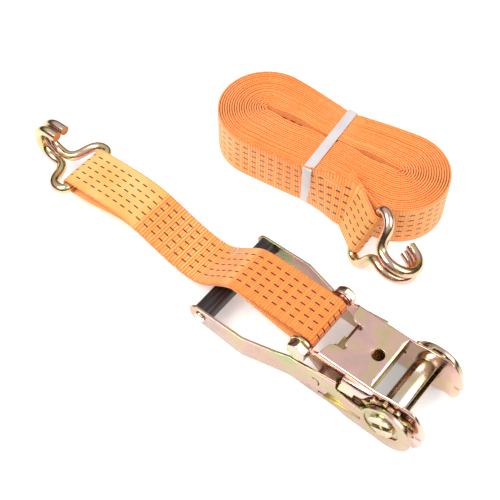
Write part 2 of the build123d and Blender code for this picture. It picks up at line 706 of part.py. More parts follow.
def coil_band():
    """Flat plastic band round the coil's waist, flush with the floor."""
    near = coil_half_width(BAND_W / 2, COIL_NEAR_PINCH) + BAND_GAP
    far = coil_half_width(BAND_W / 2, COIL_FAR_PINCH) + BAND_GAP
    low = BAND_BITE_LOW - BAND_GAP
    high = WEBBING_WIDTH - BAND_BITE_HIGH + BAND_GAP
    middle = Pos((far - near) / 2, (low + high) / 2)
    inner = middle * RectangleRounded(near + far, high - low, 0.6)
    outer = middle * RectangleRounded(near + far + 2 * BAND_T, high - low + 2 * BAND_T, 1.2)
    loop = extrude(Plane.YZ.offset(-BAND_W / 2) * (outer - inner), amount=BAND_W)
    return coil_place() * loop


# ---------------------------------------------------------------- nodes
plate = handle_plate()
nodes = {
    "frame": frame(),
    "strap_bolt": strap_bolt(),
    "strap_bolt_nut": strap_bolt_nut(),
    "spindle_half_upper": spindle_half(1),
    "spindle_half_lower": spindle_half(-1),
    "ratchet_wheel_left": ratchet_wheel(1),
    "ratchet_wheel_right": ratchet_wheel(-1),
    "split_pin_left": split_pin(1),
    "split_pin_right": split_pin(-1),
    "handle_plate_left": plate,
    "handle_plate_right": flip(plate),
    "handle_crossbar": handle_crossbar(),
    "grip": grip(),
    "grip_rod": grip_rod(),
    "drive_pawl": drive_pawl(),
    "drive_pawl_spring": drive_spring(),
    "lock_pawl": lock_pawl(),
    "lock_pawl_spring": lock_spring(),
    "anchor_strap": anchor_strap(),
    "anchor_hook": anchor_place() * claw_hook(),
    "long_strap": long_strap(),
    "long_hook": long_place() * claw_hook(),
    "coil_band": coil_band(),
}
for node_name, node_shape in nodes.items():
    save(node_name, node_shape)
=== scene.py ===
"""Ratchet tie down: plated ratchet, anchor strap, coiled strap, band and claw hooks."""

import json
import logging
import math
from dataclasses import dataclass, field
from enum import Enum
from typing import Any, Optional, Sequence, Union

import bmesh
import bpy
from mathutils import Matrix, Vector, noise


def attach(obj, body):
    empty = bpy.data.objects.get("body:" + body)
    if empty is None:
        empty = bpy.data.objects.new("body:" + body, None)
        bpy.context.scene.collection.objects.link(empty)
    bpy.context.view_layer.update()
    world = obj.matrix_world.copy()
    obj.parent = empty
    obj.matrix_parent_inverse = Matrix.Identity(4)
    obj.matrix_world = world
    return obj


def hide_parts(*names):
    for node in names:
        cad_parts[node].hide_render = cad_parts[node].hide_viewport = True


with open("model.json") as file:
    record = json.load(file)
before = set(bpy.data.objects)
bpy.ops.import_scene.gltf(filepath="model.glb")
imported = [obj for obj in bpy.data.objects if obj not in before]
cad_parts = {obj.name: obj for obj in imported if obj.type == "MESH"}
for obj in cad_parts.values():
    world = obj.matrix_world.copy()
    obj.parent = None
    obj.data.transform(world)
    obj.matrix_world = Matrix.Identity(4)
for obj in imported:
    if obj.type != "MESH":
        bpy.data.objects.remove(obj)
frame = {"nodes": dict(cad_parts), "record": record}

log = logging.getLogger("tie_down")
logging.basicConfig(level=logging.INFO, format="%(name)s: %(message)s")

MM = 0.001
Colour = tuple[float, float, float]
Point = tuple[float, float, float]


class Body(Enum):
    """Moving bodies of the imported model."""

    FRAME = "ratchet_frame"
    SPINDLE = "spindle"
    HANDLE = "handle"
    DRIVE_PAWL = "drive_pawl"
    LOCK_PAWL = "lock_pawl"
    ANCHOR_HOOK = "anchor_hook"
    COIL = "coil"
    LONG_HOOK = "long_hook"


# ------------------------------------------------------------------ shader expressions
class Sock:
    """A shader output that takes part in Python expressions."""

    def __init__(self, shop: "Shop", socket: bpy.types.NodeSocket) -> None:
        """Args:
            shop: Material that the socket belongs to.
            socket: The output to wrap.
        """
        self.shop = shop
        self.socket = socket

    def _math(self, operation: str, *values: Any) -> "Sock":
        """One Math node on this value and others, in the order given."""
        inputs = dict(enumerate(values))
        return self.shop.make("ShaderNodeMath", {"operation": operation}, inputs, 0)

    def __add__(self, other: Any) -> "Sock":
        """Sum."""
        return self._math("ADD", self, other)

    def __radd__(self, other: Any) -> "Sock":
        """Sum, other first."""
        return self._math("ADD", other, self)

    def __sub__(self, other: Any) -> "Sock":
        """Difference."""
        return self._math("SUBTRACT", self, other)

    def __rsub__(self, other: Any) -> "Sock":
        """Difference, other first."""
        return self._math("SUBTRACT", other, self)

    def __mul__(self, other: Any) -> "Sock":
        """Product."""
        return self._math("MULTIPLY", self, other)

    def __rmul__(self, other: Any) -> "Sock":
        """Product, other first."""
        return self._math("MULTIPLY", other, self)

    def __truediv__(self, other: Any) -> "Sock":
        """Quotient."""
        return self._math("DIVIDE", self, other)

    def __rtruediv__(self, other: Any) -> "Sock":
        """Quotient, other first."""
        return self._math("DIVIDE", other, self)

    def __lt__(self, other: Any) -> "Sock":
        """1 where this is below the other, else 0."""
        return self._math("LESS_THAN", self, other)

    def __abs__(self) -> "Sock":
        """Size without sign."""
        return self._math("ABSOLUTE", self)

    def fraction(self) -> "Sock":
        """Part after the decimal point."""
        return self._math("FRACT", self)

    def wave(self, pitch: float) -> "Sock":
        """Sine of this length, -1 to 1, one period per pitch."""
        return self._math("SINE", self * (2 * math.pi / pitch))

    def ramp(self, low: float, high: float, start: float = 0.0, end: float = 1.0) -> "Sock":
        """Smooth step.

        Args:
            low: Value at which the step begins.
            high: Value at which it ends.
            start: Result at low and below.
            end: Result at high and above.

        Returns:
            The stepped value.
        """
        return self.shop.make(
            "ShaderNodeMapRange",
            {"interpolation_type": "SMOOTHSTEP"},
            {"Value": self, "From Min": low, "From Max": high, "To Min": start, "To Max": end},
            "Result",
        )


Value = Union[float, Sock]


class Shop:
    """Builds the node tree of one material."""

    def __init__(self, name: str) -> None:
        """Args:
            name: Name of the material.
        """
        self.material = bpy.data.materials.new(name)
        self.material.use_nodes = True
        self.tree = self.material.node_tree
        self.tree.nodes.clear()

    def make(
        self,
        kind: str,
        settings: Optional[dict[str, Any]] = None,
        inputs: Optional[dict[Any, Any]] = None,
        out: Union[int, str] = 0,
    ) -> Sock:
        """Add one node.

        Args:
            kind: Node type.
            settings: Node settings; stops is a ramp's list of (position, colour).
            inputs: Values or links, by socket name or index.
            out: Which output to return.

        Returns:
            The chosen output.
        """
        node = self.tree.nodes.new(kind)
        for key, value in (settings or {}).items():
            if key == "stops":
                self._stops(node, value)
            else:
                setattr(node, key, value)
        for key, value in (inputs or {}).items():
            self._feed(node.inputs[key], value)
        return Sock(self, node.outputs[out])

    def _feed(self, target: bpy.types.NodeSocket, value: Any) -> None:
        """Link a socket or set its value."""
        if isinstance(value, Sock):
            self.tree.links.new(value.socket, target)
        elif isinstance(value, tuple) and target.type == "RGBA":
            target.default_value = (*value, 1.0)
        else:
            target.default_value = value

    @staticmethod
    def _stops(node: bpy.types.Node, stops: Sequence[tuple[float, Colour]]) -> None:
        """Set a colour ramp's stops."""
        elements = node.color_ramp.elements
        while len(elements) < len(stops):
            elements.new(0.5)
        for element, (position, colour) in zip(elements, stops):
            element.position = position
            element.color = (*colour, 1.0)

    def place(self) -> Sock:
        """Object coordinates, in metres."""
        return self.make("ShaderNodeTexCoord", out="Object")

    def cloud(
        self,
        scale: float,
        detail: float = 2.0,
        rough: float = 0.5,
        stretch: Optional[Point] = None,
    ) -> Sock:
        """Noise on object coordinates, 0 to 1.

        Args:
            scale: Features per metre.
            detail: Octaves.
            rough: Share of the finer octaves.
            stretch: Share of the scale along each axis; a small one draws the noise out.

        Returns:
            The noise value.
        """
        coords = self.place()
        if stretch is not None:
            coords = self.make("ShaderNodeMapping", {}, {"Vector": coords, "Scale": stretch})
        inputs = {"Vector": coords, "Scale": scale, "Detail": detail, "Roughness": rough}
        return self.make("ShaderNodeTexNoise", {}, inputs, 0)

    def ramp(self, value: Sock, stops: Sequence[tuple[float, Colour]]) -> Sock:
        """Colour ramp on a value."""
        return self.make("ShaderNodeValToRGB", {"stops": stops}, {0: value}, 0)

    def mix(self, factor: Value, first: Any, second: Any) -> Sock:
        """Mix two colours.

        Args:
            factor: 0 gives the first, 1 the second.
            first: Colour or link.
            second: Colour or link.

        Returns:
            The mixed colour.
        """
        settings = {"data_type": "RGBA", "blend_type": "MIX"}
        return self.make("ShaderNodeMix", settings, {0: factor, 6: first, 7: second}, 2)

    def bump(self, height: Sock, depth: float, strength: float = 1.0) -> Sock:
        """Bump from a height of 0 to 1.

        Args:
            height: Height map.
            depth: Real height in metres.
            strength: Share of the effect.

        Returns:
            The normal.
        """
        inputs = {"Height": height, "Distance": depth, "Strength": strength}
        return self.make("ShaderNodeBump", {}, inputs, 0)

    def finish(self, **sockets: Any) -> bpy.types.Material:
        """Close the tree with a Principled shader.

        Args:
            **sockets: Shader sockets, with underscores for spaces.

        Returns:
            The material.
        """
        inputs = {key.replace("_", " "): value for key, value in sockets.items()}
        shader = self.make("ShaderNodeBsdfPrincipled", {}, inputs, 0)
        output = self.tree.nodes.new("ShaderNodeOutputMaterial")
        self.tree.links.new(shader.socket, output.inputs["Surface"])
        return self.material


# ------------------------------------------------------------------ finishes
@dataclass(frozen=True)
class Passivate:
    """Yellow passivated zinc: green, gold and rose patches over bright metal."""

    name: str
    green: Colour = (0.50, 0.54, 0.27)
    gold: Colour = (0.74, 0.56, 0.26)
    rose: Colour = (0.76, 0.46, 0.38)
    mauve: Colour = (0.62, 0.42, 0.42)
    patch: float = 30.0
    fleck: float = 3.3
    wide_share: float = 0.75
    shift: float = 0.0
    gloss: float = 0.24
    grain_depth: float = 0.00006

    def material(self) -> bpy.types.Material:
        """The finish as a material: patches, finer flecks in them and a drawn grain."""
        shop = Shop(self.name)
        wide = shop.cloud(self.patch, 2.5, 0.55)
        tight = shop.cloud(self.patch * self.fleck, 3.0, 0.6)
        tone = wide * self.wide_share + tight * (1 - self.wide_share) + self.shift
        colour = shop.ramp(
            tone,
            [
                (0.36, self.green),
                (0.45, self.gold),
                (0.53, self.rose),
                (0.60, self.mauve),
                (0.66, self.gold),
            ],
        )
        fine = shop.cloud(900.0, 2.0, 0.6)
        colour = shop.mix(fine.ramp(0.35, 0.75, 0.0, 0.22), colour, self.gold)
        drawn = shop.cloud(260.0, 2.0, 0.6, stretch=(0.25, 1.0, 1.0))
        rough = drawn.ramp(0.3, 0.7, self.gloss - 0.05, self.gloss + 0.09)
        grain = shop.bump(fine * 0.5 + drawn * 0.5, self.grain_depth, 0.5)
        return shop.finish(
            Base_Color=colour, Metallic=1.0, Roughness=rough, Normal=grain, IOR=1.6
        )


@dataclass(frozen=True)
class TurnedSteel:
    """Turned bar: bright steel with fine rings and a thin gold tint."""

    name: str
    colour: Colour = (0.66, 0.61, 0.52)
    tint: Colour = (0.62, 0.50, 0.30)
    gloss: float = 0.2

    def material(self) -> bpy.types.Material:
        """The finish as a material."""
        shop = Shop(self.name)
        cloud = shop.cloud(45.0, 2.0, 0.5)
        rings = shop.cloud(1800.0, 1.0, 0.4, stretch=(0.05, 1.0, 0.05))
        colour = shop.mix(cloud.ramp(0.35, 0.65), self.colour, self.tint)
        rough = rings.ramp(0.3, 0.7, self.gloss - 0.04, self.gloss + 0.08)
        normal = shop.bump(rings, 0.00003, 0.35)
        return shop.finish(Base_Color=colour, Metallic=1.0, Roughness=rough, Normal=normal)


@dataclass(frozen=True)
class MouldedGrip:
    """Black-brown moulded plastic, rubbed smooth along its length."""

    name: str = "grip_plastic"
    dark: Colour = (0.010, 0.006, 0.006)
    worn: Colour = (0.045, 0.028, 0.028)

    def material(self) -> bpy.types.Material:
        """The finish as a material."""
        shop = Shop(self.name)
        streaks = shop.cloud(420.0, 3.0, 0.6, stretch=(1.0, 0.04, 1.0))
        speck = shop.cloud(1500.0, 2.0, 0.5)
        colour = shop.mix(streaks.ramp(0.42, 0.66), self.dark, self.worn)
        rough = speck.ramp(0.3, 0.7, 0.34, 0.5)
        normal = shop.bump(streaks * 0.7 + speck * 0.3, 0.0003, 0.5)
        return shop.finish(Base_Color=colour, Roughness=rough, Normal=normal)


@dataclass(frozen=True)
class FlatBand:
    """Off-white flat plastic band with faint lengthwise lines."""

    name: str = "band_plastic"
    pale: Colour = (0.60, 0.555, 0.56)
    shade: Colour = (0.53, 0.475, 0.485)

    def material(self) -> bpy.types.Material:
        """The finish as a material."""
        shop = Shop(self.name)
        lines = shop.cloud(700.0, 2.0, 0.5, stretch=(1.0, 0.05, 0.05))
        haze = shop.cloud(60.0, 2.0, 0.5)
        colour = shop.mix(haze.ramp(0.35, 0.7, 0.0, 0.6), self.pale, self.shade)
        rough = haze.ramp(0.3, 0.7, 0.32, 0.45)
        normal = shop.bump(lines, 0.0001, 0.5)
        return shop.finish(Base_Color=colour, Roughness=rough, Normal=normal)


@dataclass(frozen=True)
class Webbing:
    """Woven polyester webbing: ribs, weave, selvedge, five rows of marker threads, and painted
    shade in the webbing's shaded orange.
    """

    name: str = "webbing_orange"
    bright: Colour = (1.0, 0.42, 0.105)
    # Shaded orange of the webbing, used for painted shade.
    painted_shade_orange: Colour = (0.97, 0.225, 0.032)
    peach: Colour = (1.0, 0.53, 0.19)
    marker: Colour = (0.035, 0.006, 0.012)
    row_pitch: float = 7.8
    rows_half: float = 19.5
    dash_pitch: float = 9.6
    dash_length: float = 5.2
    dash_half: float = 0.70
    dash_fade: float = 0.05
    rib_pitch: float = 3.0
    warp_pitch: float = 1.1
    weft_pitch: float = 2.3
    pick_pitch: float = 2.2022
    half_width: float = 25.0
    selvedge: float = 2.4
    relief: float = 0.0012

    def marker_threads(self, along: Sock, across: Sock) -> Sock:
        """Where the marker threads come to the surface.

        Args:
            along: Millimetres along the webbing.
            across: Millimetres across it, from its middle.

        Returns:
            1 on a dash, else 0.
        """
        shifted = across + self.row_pitch * 10.5
        off_row = abs((shifted / self.row_pitch).fraction() - 0.5) * self.row_pitch
        in_row = off_row.ramp(self.dash_half - 0.2, self.dash_half + 0.15, 1.0, 0.0)
        step = (along / self.dash_pitch).fraction()
        end = self.dash_length / self.dash_pitch
        in_dash = step.ramp(0.0, self.dash_fade) * step.ramp(end, end + self.dash_fade, 1.0, 0.0)
        return in_row * in_dash * (abs(across) < self.rows_half)

    def material(self) -> bpy.types.Material:
        """The finish as a material. Its UV map holds metres along and across."""
        shop = Shop(self.name)
        uv = shop.make("ShaderNodeUVMap", {"uv_map": "weave"})
        apart = shop.make("ShaderNodeSeparateXYZ", {}, {0: uv}, 0)
        along = apart / MM
        across = Sock(shop, apart.socket.node.outputs[1]) / MM
        rib = shop.make("ShaderNodeAttribute", {"attribute_name": "rib"}, out="Fac")
        painted_shade = shop.make("ShaderNodeAttribute", {"attribute_name": "painted_shade"}, out="Fac")
        wander = shop.cloud(70.0, 2.0, 0.5)
        marked = self.marker_threads(along + wander * 1.2, across)
        warp = across.wave(self.warp_pitch)
        weft = (along + warp * 0.12 + wander * 0.8).wave(self.weft_pitch)
        cord = (along + wander * 1.5).wave(self.rib_pitch)
        picks = along.wave(self.pick_pitch)
        edge = abs(across).ramp(self.half_width - self.selvedge, self.half_width - 0.6)
        blotch = shop.cloud(28.0, 2.0, 0.5)
        colour = shop.mix(blotch.ramp(0.3, 0.72), self.bright, self.peach)
        # Painted shade from the strips' per-vertex painted-shade share.
        colour = shop.mix(painted_shade * 0.75, colour, self.painted_shade_orange)
        # Painted shade in the rib troughs, on top of the ribs' bump.
        colour = shop.mix(cord.ramp(-0.35, 0.55) * rib * 0.95, colour, self.painted_shade_orange)
        # The weave's fine pattern: partly the yarns' own look, partly painted shade in their dips.
        colour = shop.mix((weft * 0.35 + warp * 0.15 + 0.5) * 0.38, colour, self.painted_shade_orange)
        # Darker picks along the selvedge: partly its own tone, partly painted shade.
        colour = shop.mix(edge * (picks * 0.5 + 0.5) * 0.55, colour, self.painted_shade_orange)
        colour = shop.mix(marked, colour, self.marker)
        height = warp * 0.12 + weft * 0.14 + cord * rib * -0.75 + picks * edge * 0.6
        normal = shop.bump(height * 0.5 + 0.5, self.relief, 0.8)
        rough = (warp * weft).ramp(-1.0, 1.0, 0.62, 0.78)
        return shop.finish(
            Base_Color=colour,
            Roughness=rough,
            Normal=normal,
            Sheen_Weight=0.25,
            Sheen_Roughness=0.4,
            Subsurface_Weight=0.12,
            Subsurface_Radius=(0.006, 0.002, 0.0008),
            Subsurface_Scale=0.5,
        )


@dataclass(frozen=True)
class Thread:
    """Pale sewing thread."""

    name: str = "thread_pale"
    pale: Colour = (0.90, 0.62, 0.58)
    shade: Colour = (0.85, 0.42, 0.36)

    def material(self) -> bpy.types.Material:
        """The finish as a material."""
        shop = Shop(self.name)
        twist = shop.cloud(1400.0, 1.0, 0.5)
        return shop.finish(
            Base_Color=shop.mix(twist.ramp(0.3, 0.7), self.pale, self.shade),
            Roughness=twist.ramp(0.3, 0.7, 0.6, 0.8),
            Normal=shop.bump(twist, 0.0001),
        )


# ------------------------------------------------------------------ mesh helpers
def show(
    mesh: bpy.types.Mesh, name: str, material: bpy.types.Material, body: Body
) -> bpy.types.Object:
    """Put a mesh in the scene as a piece.

    Args:
        mesh: Finished mesh.
        name: Name of the piece.
        material: Its finish.
        body: Body that it rides on.

    Returns:
        The piece.
    """
    mesh.materials.clear()
    mesh.materials.append(material)
    piece = bpy.data.objects.new(name, mesh)
    bpy.context.scene.collection.objects.link(piece)
    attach(piece, body.value)
    log.info("%s: %d faces on %s", name, len(mesh.polygons), body.value)
    return piece


def closed_mesh(bm: bmesh.types.BMesh, name: str, smooth_deg: float = 40.0) -> bpy.types.Mesh:
    """Turn a bmesh into a mesh, smooth but for its sharp edges.

    Args:
        bm: Source, freed afterwards.
        name: Name of the mesh.
        smooth_deg: Edges sharper than this stay sharp.

    Returns:
        The mesh.
    """
    limit = math.radians(smooth_deg)
    for face in bm.faces:
        face.smooth = True
    for edge in bm.edges:
        edge.smooth = not (len(edge.link_faces) == 2 and edge.calc_face_angle(0.0) > limit)
    mesh = bpy.data.meshes.new(name)
    bm.to_mesh(mesh)
    bm.free()
    return mesh


@dataclass
class PlatedPart:
    """A CAD part with its edges broken, standing for its node."""

    node: str
    body: Body
    slot: str
    material: bpy.types.Material
    edge: float = 0.35
    sharp_deg: float = 40.0
    merge: float = 0.002

    def build(self) -> bpy.types.Object:
        """Copy the node's mesh, merge it, break its edges and show it.

        Returns:
            The piece.
        """
        bm = bmesh.new()
        bm.from_mesh(frame["nodes"][self.node].data)
        bmesh.ops.remove_doubles(bm, verts=bm.verts, dist=self.merge * MM)
        if self.edge > 0:
            limit = math.radians(self.sharp_deg)
            folds = [e for e in bm.edges if len(e.link_faces) == 2]
            bmesh.ops.bevel(
                bm,
                geom=[e for e in folds if e.calc_face_angle(0.0) > limit],
                offset=self.edge * MM,
                offset_type="OFFSET",
                segments=2,
                profile=0.5,
                affect="EDGES",
                clamp_overlap=False,
                material=-1,
            )
        mesh = closed_mesh(bm, f"{self.node}_shape")
        piece = show(mesh, f"{self.node}_piece", self.material, self.body)
        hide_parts(self.node)
        return piece


# ------------------------------------------------------------------ webbing
@dataclass
class Station:
    """One place along a strip of webbing.

    rib is the share of the ribbed weave there, painted_shade the share of painted shade in the
    webbing's shaded orange, and squeeze is its share of the full width.
    """

    centre: Vector
    across: Vector
    out: Vector
    rib: float = 0.0
    squeeze: float = 1.0
    painted_shade: float = 0.0


@dataclass
class Strip:
    """Builds a closed strip of webbing through its stations; edge_painted_shade is painted shade on
    its corners, which on the coil draws dark lines between the layers.
    """

    width: float = 50.0
    thick: float = 2.2
    across_cuts: int = 8
    edge_painted_shade: float = 0.0
    edge_width: float = 1.2

    def profile(self) -> list[tuple[float, float]]:
        """Closed cross-section as (across, out) in mm, with rounded selvedges."""
        half, t = self.width / 2, self.thick / 2
        flat = half - t
        inner = flat - self.edge_width
        cuts = self.across_cuts
        inside = [(inner * (2 * i / cuts - 1), t) for i in range(cuts + 1)]
        face = [(-flat, t), *inside, (flat, t)]
        ends = [(flat + t * math.cos(a), t * math.sin(a)) for a in (0.6, -0.6)]
        ring = face + ends + [(v, -w) for v, w in reversed(face)]
        return ring + [(-v, -w) for v, w in ends]

    def build(self, name: str, stations: Sequence[Station]) -> tuple[bpy.types.Mesh, float]:
        """Build the strip.

        Args:
            name: Name of the mesh.
            stations: Places along it, in order, in metres.

        Returns:
            The mesh, and the strip's length in metres.
        """
        ring = self.profile()
        corner = (self.width / 2 - self.thick / 2 - 0.01, 0.99 * self.thick / 2)
        turns, count = len(ring), len(stations)
        along = [0.0]
        for a, b in zip(stations, stations[1:]):
            along.append(along[-1] + (b.centre - a.centre).length)
        bm = bmesh.new()
        bmesh.ops.create_grid(bm, x_segments=turns, y_segments=count - 1, size=1.0)
        weave = bm.loops.layers.uv.new("weave")
        rib = bm.verts.layers.float.new("rib")
        painted_shade = bm.verts.layers.float.new("painted_shade")
        seat = {}
        for vert in bm.verts:
            seat[vert] = (
                round((vert.co.x + 1) / 2 * turns),
                round((vert.co.y + 1) / 2 * (count - 1)),
            )
        for face in bm.faces:
            for loop in face.loops:
                i, j = seat[loop.vert]
                loop[weave].uv = (along[j], ring[i % turns][0] * MM)
        for vert, (i, j) in seat.items():
            s = stations[j]
            v, w = ring[i % turns]
            vert.co = s.centre + s.across * (v * s.squeeze * MM) + s.out * (w * MM)
            vert[rib] = s.rib
            # Painted shade per vertex: the station's share, or the corner share along the strip's
            # edges.
            at_corner = abs(v) > corner[0] and abs(w) > corner[1]
            vert[painted_shade] = max(s.painted_shade, self.edge_painted_shade if at_corner else 0.0)
        bmesh.ops.remove_doubles(bm, verts=bm.verts, dist=1e-7)
        rim = [e for e in bm.edges if len(e.link_faces) == 1]
        bmesh.ops.holes_fill(bm, edges=rim, sides=0)
        bmesh.ops.recalc_face_normals(bm, faces=bm.faces)
        return closed_mesh(bm, name, 70.0), along[-1]


def smooth_line(points: Sequence[Vector], step: float) -> list[Vector]:
    """Cardinal spline through points, sampled evenly.

    Args:
        points: Control points that the line passes through.
        step: Distance between samples, in metres.

    Returns:
        Samples along the line.
    """
    dense: list[Vector] = []
    padded = [points[0] * 2 - points[1], *points, points[-1] * 2 - points[-2]]
    for p0, p1, p2, p3 in zip(padded, padded[1:], padded[2:], padded[3:]):
        for k in range(16):
            t = k / 16
            a = p1 * 2 + (p2 - p0) * t
            b = (p0 * 2 - p1 * 5 + p2 * 4 - p3) * (t * t)
            c = (p1 * 3 - p0 - p2 * 3 + p3) * (t**3)
            dense.append((a + b + c) * 0.5)
    dense.append(points[-1])
    return even_line(dense, step)


def even_line(dense: Sequence[Vector], step: float) -> list[Vector]:
    """Points spaced evenly along a polyline.

    Args:
        dense: The polyline.
        step: Distance between points, in metres.

    Returns:
        Evenly spaced points, both ends included.
    """
    lengths = [0.0]
    for a, b in zip(dense, dense[1:]):
        lengths.append(lengths[-1] + (b - a).length)
    count = max(2, round(lengths[-1] / step) + 1)
    result, k = [], 0
    for i in range(count):
        target = lengths[-1] * i / (count - 1)
        while k < len(dense) - 2 and lengths[k + 1] < target:
            k += 1
        span = lengths[k + 1] - lengths[k]
        t = (target - lengths[k]) / span if span > 0 else 0.0
        result.append(dense[k].lerp(dense[k + 1], min(max(t, 0.0), 1.0)))
    return result


def arc(centre: Vector, radius: float, start: float, end: float, cuts: int = 14) -> list[Vector]:
    """Arc in X and Z.

    Args:
        centre: Its centre, in mm.
        radius: In mm.
        start: First angle, degrees from +X towards +Z.
        end: Last angle.
        cuts: How many steps.

    Returns:
        Points in mm.
    """
    angles = [math.radians(start + (end - start) * i / cuts) for i in range(cuts + 1)]
    return [centre + Vector((radius * math.cos(a), 0, radius * math.sin(a))) for a in angles]


def smoother(x: float, low: float, high: float) -> float:
    """Smooth step from 0 at low to 1 at high."""
    t = min(max((x - low) / (high - low), 0.0), 1.0)
    return t * t * (3 - 2 * t)


@dataclass
class AnchorStrap:
    """Short strap: one strip that loops round the bolt and the hook's bar and is sewn to itself."""

    material: bpy.types.Material
    thick: float = 2.3
    bolt: tuple[float, float] = (-57.0, -8.0)
    bar: tuple[float, float] = (-338.5, -19.0)
    bolt_bore: float = 6.35
    bar_bore: float = 5.35
    sheet: float = 2.5
    seam: float = -205.0
    sewn: tuple[float, float] = (-254.0, -146.0)
    upper: tuple[tuple[float, float], ...] = (
        (-75.0, 1.2), (-95.0, 1.6), (-118.0, 1.8), (-133.0, 1.4), (-142.0, -1.4), (-150.0, -7.2),
        (-160.0, -15.6), (-170.0, -24.4), (-180.0, -29.6), (-192.0, -30.6), (-211.0, -26.8),
        (-232.0, -19.4), (-252.0, -11.8), (-268.0, -8.2), (-290.0, -7.4), (-312.0, -8.6),
    )
    lower_front: tuple[tuple[float, float], ...] = ((-80.0, -12.5), (-110.0, -6.0), (-134.0, -1.6))
    lower_rear: tuple[tuple[float, float], ...] = (
        (-270.0, -12.6), (-292.0, -17.0), (-318.0, -22.6),
    )
    step: float = 2.0

    def line(self, points: Sequence[tuple[float, float]]) -> list[Vector]:
        """Middle of the strip under points of its upper face, given as (x, z) in mm."""
        return [Vector((x, 0, z - self.sheet / 2)) for x, z in points]

    def route(self) -> list[Vector]:
        """Middle line of the strip, from the seam round the bolt and the bar and back, in mm."""
        half, line = self.sheet / 2, self.line
        low, high = self.sewn[0], self.sewn[1] + 4
        under = [(x, z - self.sheet) for x, z in self.upper if low <= x <= high]
        ahead = [p for p in under if p[0] > self.seam]
        behind = [p for p in under if p[0] <= self.seam]
        seam_z = (ahead[-1][1] + behind[0][1]) / 2
        bolt = Vector((self.bolt[0], 0, self.bolt[1]))
        bar = Vector((self.bar[0], 0, self.bar[1]))
        start = (self.seam + 0.8, seam_z)
        forward = line([start, *reversed(ahead), *reversed(self.lower_front)])
        round_bolt = arc(bolt, self.bolt_bore + half, -90, 90)
        round_bar = arc(bar, self.bar_bore + half, 90, 270)
        back = line([*self.lower_rear[::-1], *reversed(behind), (self.seam - 0.8, seam_z)])
        return forward + round_bolt + line(self.upper) + round_bar + back

    def build(self) -> bpy.types.Object:
        """Returns:
            The piece.
        """
        points = smooth_line([p * MM for p in self.route()], self.step * MM)
        across = Vector((0, 1, 0))
        stations = []
        for i, point in enumerate(points):
            ahead, behind = points[min(i + 1, len(points) - 1)], points[max(i - 1, 0)]
            tangent = (ahead - behind).normalized()
            x = point.x / MM
            rib = smoother(x, self.sewn[0] - 3, self.sewn[0] + 3) * (
                1 - smoother(x, self.sewn[1] - 3, self.sewn[1] + 3)
            )
            out = tangent.cross(across)
            # Painted shade: the webbing's shaded orange ahead of the sewn stretch, where the out
            # side faces down, and round the bolt.
            under = 1.0 if out.z < 0 else 0.0
            lower_front = under * smoother(x, self.sewn[1], self.sewn[1] + 8)
            round_bolt = smoother(x, self.bolt[0] - 10, self.bolt[0] + 6)
            painted_shade = max(lower_front, 0.7 * round_bolt)
            stations.append(Station(point, across, out, max(rib, lower_front), painted_shade=painted_shade))
        mesh, length = Strip(thick=self.thick).build("anchor_strap_shape", stations)
        piece = show(mesh, "anchor_strap_webbing", self.material, Body.FRAME)
        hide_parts("anchor_strap")
        log.info("anchor strap %.3f m of webbing", length)
        return piece


